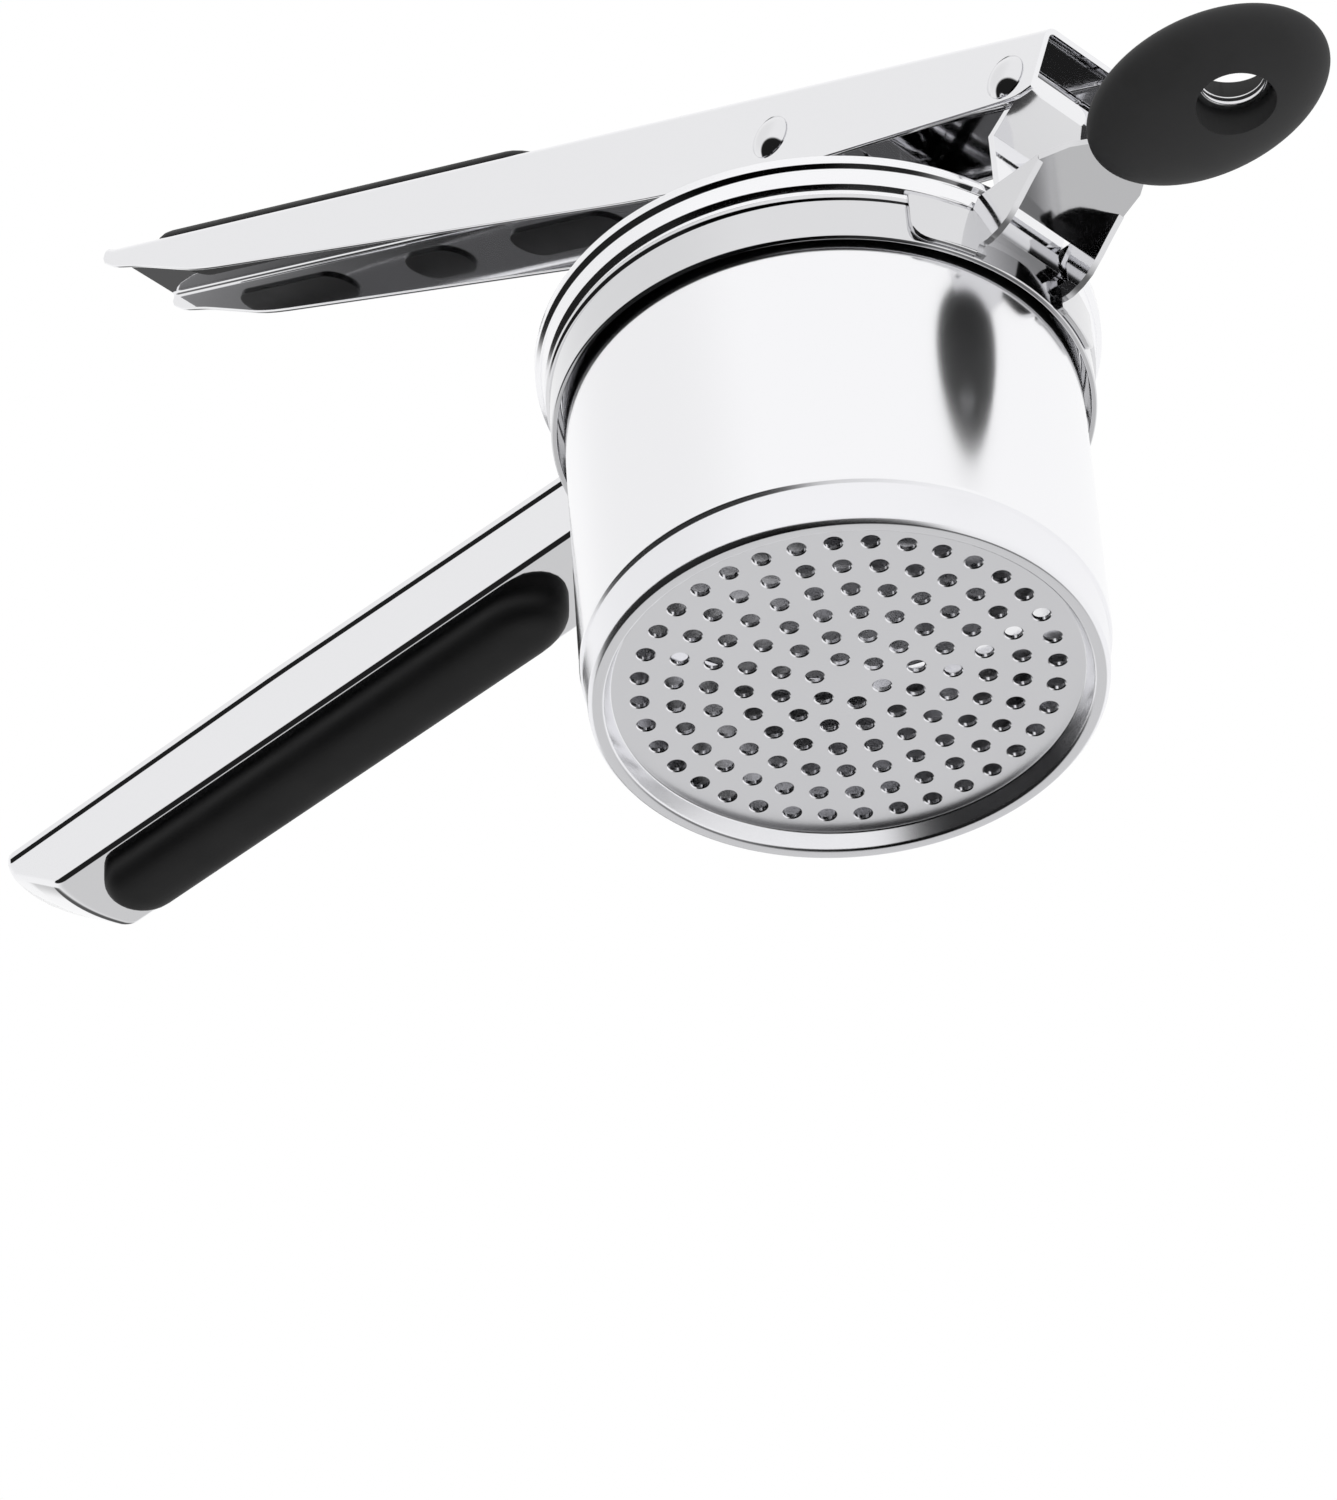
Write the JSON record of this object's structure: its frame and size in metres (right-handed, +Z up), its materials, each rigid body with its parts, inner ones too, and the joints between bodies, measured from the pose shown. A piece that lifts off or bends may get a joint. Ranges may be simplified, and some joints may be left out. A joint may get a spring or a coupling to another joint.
{
  "type": "potato ricer",
  "caption": "Hand potato ricer: perforated cup hung in a ring, hinged lever with a pivoting pressing disc, fixed lower handle and an oval knob with a hanging hole.",
  "frame": {"origin": "centre of the foot ring that the basket stands on, on the basket's axis", "axes": "+X from the basket to the knob, with the handles towards -X; +Z up the basket's axis, out of its mouth; Y = 0 is the plane of symmetry"},
  "size_m": [0.3117, 0.0966, 0.2164],
  "materials": {
    "polished_steel": "mirror-polished stainless sheet",
    "bright_rivet_steel": "turned and polished steel",
    "black_soft_grip": "matte soft-touch elastomer",
    "black_hard_plastic": "fine-textured moulded plastic"
  },
  "bodies": {
    "frame": {"ring_band": "polished_steel", "nose_bracket": "polished_steel", "hinge_strap": "polished_steel", "lower_handle": "polished_steel", "lower_grip": "black_soft_grip", "lower_grip_core": "black_hard_plastic", "knob": "black_soft_grip", "knob_core": "black_hard_plastic", "knob_eyelet": "bright_rivet_steel"},
    "basket": {"basket": "polished_steel"},
    "lever": {"lever": "polished_steel", "lever_grip": "black_soft_grip", "lever_grip_core": "black_hard_plastic", "hinge_rivet": "bright_rivet_steel", "plunger_rivet": "bright_rivet_steel"},
    "plunger": {"plunger_bracket": "polished_steel", "plunger_disc": "polished_steel", "disc_rivets": "bright_rivet_steel", "pivot_sleeve": "bright_rivet_steel"}
  },
  "joints": [
    {"name": "lever_hinge", "type": "hinge", "parent": "frame", "child": "lever", "pos_m": [0.0549, 0, 0.0953], "axis": [0, 1, 0], "range_deg": [-29.4, 17.6]},
    {"name": "plunger_pivot", "type": "hinge", "parent": "lever", "child": "plunger", "pos_m": [0.00188, 0, 0.12028], "axis": [0, 1, 0], "range_deg": [-13.6, 22.7]},
    {"name": "basket_turn", "type": "hinge", "parent": "frame", "child": "basket", "pos_m": [0, 0, 0.03], "axis": [0, 0, 1], "continuous": true}
  ],
  "couplings": [
    {"joint": "plunger_pivot", "follows": "lever_hinge", "ratio": -0.77}
  ]
}
